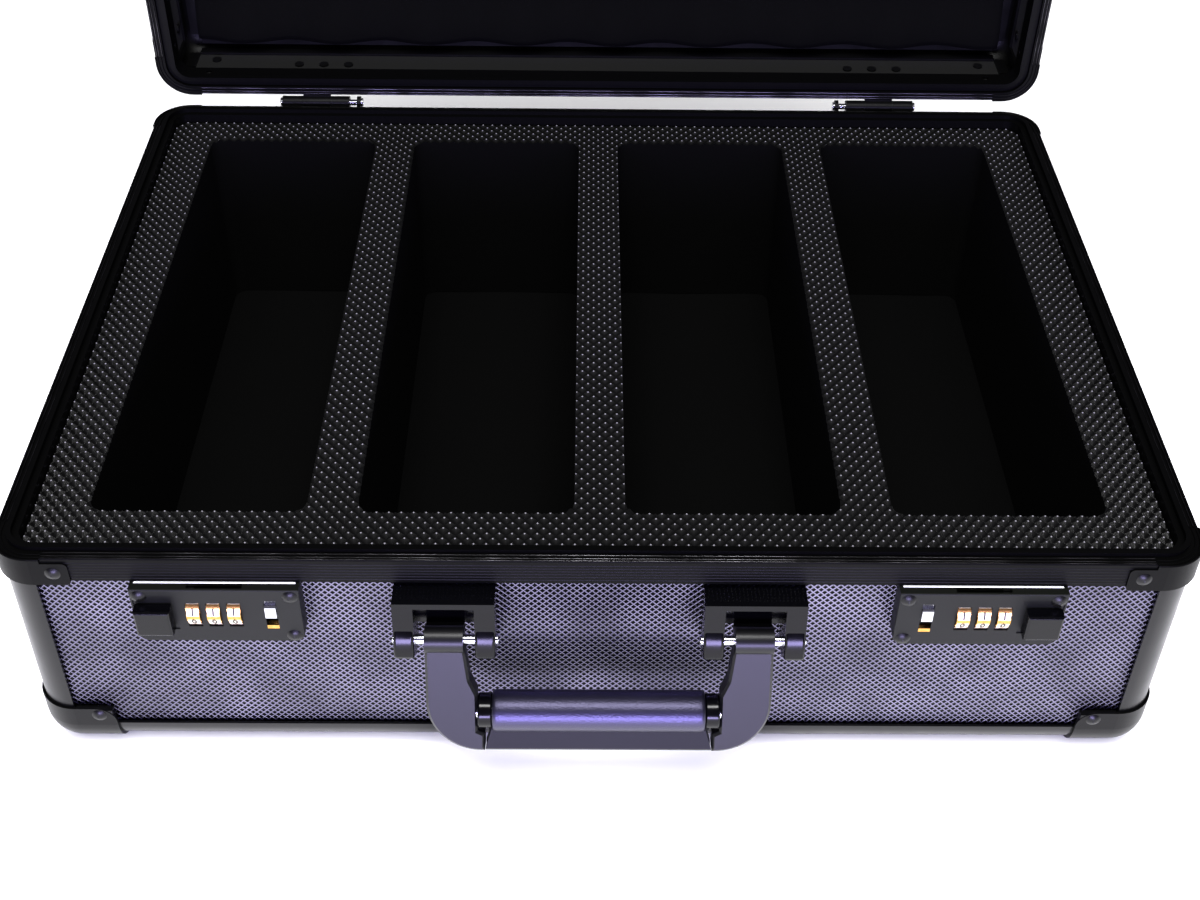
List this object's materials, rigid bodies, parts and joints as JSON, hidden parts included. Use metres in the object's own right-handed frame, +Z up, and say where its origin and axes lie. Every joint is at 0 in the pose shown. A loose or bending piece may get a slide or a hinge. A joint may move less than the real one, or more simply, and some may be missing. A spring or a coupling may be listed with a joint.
{
  "type": "attache case",
  "caption": "Hard attache case with a hinged lid, slotted foam insert, swinging handle, combination locks and hasps, shown open.",
  "frame": {"origin": "on the ground under the middle of the open case's bounding box", "axes": "+X to the case's right seen from its front, +Y towards its back, +Z up"},
  "size_m": [0.4612, 0.4098, 0.4582],
  "materials": {
    "panel_board": "satin",
    "black_anodised": "satin",
    "cap_steel": "satin",
    "rivet": "satin",
    "foam": "matte",
    "bracket_plastic": "gloss",
    "pin_steel": "polished",
    "grip_leatherette": "satin",
    "lock_zinc": "matte",
    "dial_brass": "polished",
    "spring_steel": "satin"
  },
  "bodies": {
    "base": {"floor_panel": "panel_board", "front_panel": "panel_board", "back_panel": "panel_board", "left_panel": "panel_board", "right_panel": "panel_board", "bottom_edge_extrusions": "black_anodised", "corner_posts": "black_anodised", "rim_rails": "black_anodised", "rim_corners": "cap_steel", "corner_caps": "cap_steel", "base_rivets": "rivet", "foam_insert": "foam", "floor_pad": "foam", "hinge_base_leaves": "cap_steel", "hinge_pins": "pin_steel", "handle_brackets": "bracket_plastic", "handle_pins": "pin_steel", "lock_plate_left": "lock_zinc", "lock_plate_right": "lock_zinc", "lock_case_left": "lock_zinc", "lock_case_right": "lock_zinc", "dial_axles": "pin_steel", "lever_stops": "dial_brass", "lock_rivets": "rivet", "lock_spring_left": "spring_steel", "lock_spring_right": "spring_steel"},
    "lid": {"lid_top_panel": "panel_board", "lid_front_panel": "panel_board", "lid_back_panel": "panel_board", "lid_left_panel": "panel_board", "lid_right_panel": "panel_board", "lid_edge_extrusions": "black_anodised", "lid_corner_posts": "black_anodised", "lid_rim_rails": "black_anodised", "lid_rim_corners": "cap_steel", "lid_corner_caps": "cap_steel", "lid_rivets": "rivet", "egg_crate_foam": "foam", "hinge_lid_leaves": "cap_steel", "hasp_brackets": "cap_steel", "hasp_pins": "pin_steel"},
    "handle": {"handle_arms": "bracket_plastic", "handle_core_rod": "pin_steel", "handle_grip": "grip_leatherette", "handle_ferrules": "bracket_plastic"},
    "hasp_right": {"hasp_right": "cap_steel"},
    "dial_right_inner": {"dial_right_inner": "dial_brass"},
    "dial_right_middle": {"dial_right_middle": "dial_brass"},
    "dial_right_outer": {"dial_right_outer": "dial_brass"},
    "slider_right": {"lock_button_right": "bracket_plastic", "lock_bolt_right": "lock_zinc"},
    "lever_right": {"change_lever_right": "pin_steel"},
    "hasp_left": {"hasp_left": "cap_steel"},
    "dial_left_inner": {"dial_left_inner": "dial_brass"},
    "dial_left_middle": {"dial_left_middle": "dial_brass"},
    "dial_left_outer": {"dial_left_outer": "dial_brass"},
    "slider_left": {"lock_button_left": "bracket_plastic", "lock_bolt_left": "lock_zinc"},
    "lever_left": {"change_lever_left": "pin_steel"}
  },
  "joints": [
    {"name": "lid_hinge", "type": "hinge", "parent": "base", "child": "lid", "pos_m": [0, 0.16097, 0.112], "axis": [1, 0, 0], "range_deg": [0, 90]},
    {"name": "handle_pivot", "type": "hinge", "parent": "base", "child": "handle", "pos_m": [0, -0.18523, 0.077], "axis": [-1, 0, 0], "range_deg": [0, 80]},
    {"name": "hasp_right_pivot", "type": "hinge", "parent": "lid", "child": "hasp_right", "pos_m": [0.14465, 0.17907, 0.4556], "axis": [-1, 0, 0], "range_deg": [0, 105]},
    {"name": "dial_right_inner_spin", "type": "hinge", "parent": "base", "child": "dial_right_inner", "pos_m": [0.1381, -0.17593, 0.0866], "axis": [1, 0, 0], "continuous": true},
    {"name": "dial_right_middle_spin", "type": "hinge", "parent": "base", "child": "dial_right_middle", "pos_m": [0.14585, -0.17593, 0.0866], "axis": [1, 0, 0], "continuous": true},
    {"name": "dial_right_outer_spin", "type": "hinge", "parent": "base", "child": "dial_right_outer", "pos_m": [0.1536, -0.17593, 0.0866], "axis": [1, 0, 0], "continuous": true},
    {"name": "slider_right_travel", "type": "slide", "parent": "base", "child": "slider_right", "axis": [1, 0, 0], "range_m": [0, 0.004], "stiffness_N_per_m": 300, "springref_m": -0.002, "deforming": ["lock_spring_right"]},
    {"name": "lever_right_travel", "type": "slide", "parent": "base", "child": "lever_right", "axis": [0, 0, -1], "range_m": [0, 0.0036]},
    {"name": "hasp_left_pivot", "type": "hinge", "parent": "lid", "child": "hasp_left", "pos_m": [-0.14465, 0.17907, 0.4556], "axis": [-1, 0, 0], "range_deg": [0, 105]},
    {"name": "dial_left_inner_spin", "type": "hinge", "parent": "base", "child": "dial_left_inner", "pos_m": [-0.1381, -0.17593, 0.0866], "axis": [1, 0, 0], "continuous": true},
    {"name": "dial_left_middle_spin", "type": "hinge", "parent": "base", "child": "dial_left_middle", "pos_m": [-0.14585, -0.17593, 0.0866], "axis": [1, 0, 0], "continuous": true},
    {"name": "dial_left_outer_spin", "type": "hinge", "parent": "base", "child": "dial_left_outer", "pos_m": [-0.1536, -0.17593, 0.0866], "axis": [1, 0, 0], "continuous": true},
    {"name": "slider_left_travel", "type": "slide", "parent": "base", "child": "slider_left", "axis": [-1, 0, 0], "range_m": [0, 0.004], "stiffness_N_per_m": 300, "springref_m": -0.002, "deforming": ["lock_spring_left"]},
    {"name": "lever_left_travel", "type": "slide", "parent": "base", "child": "lever_left", "axis": [0, 0, -1], "range_m": [0, 0.0036]}
  ]
}
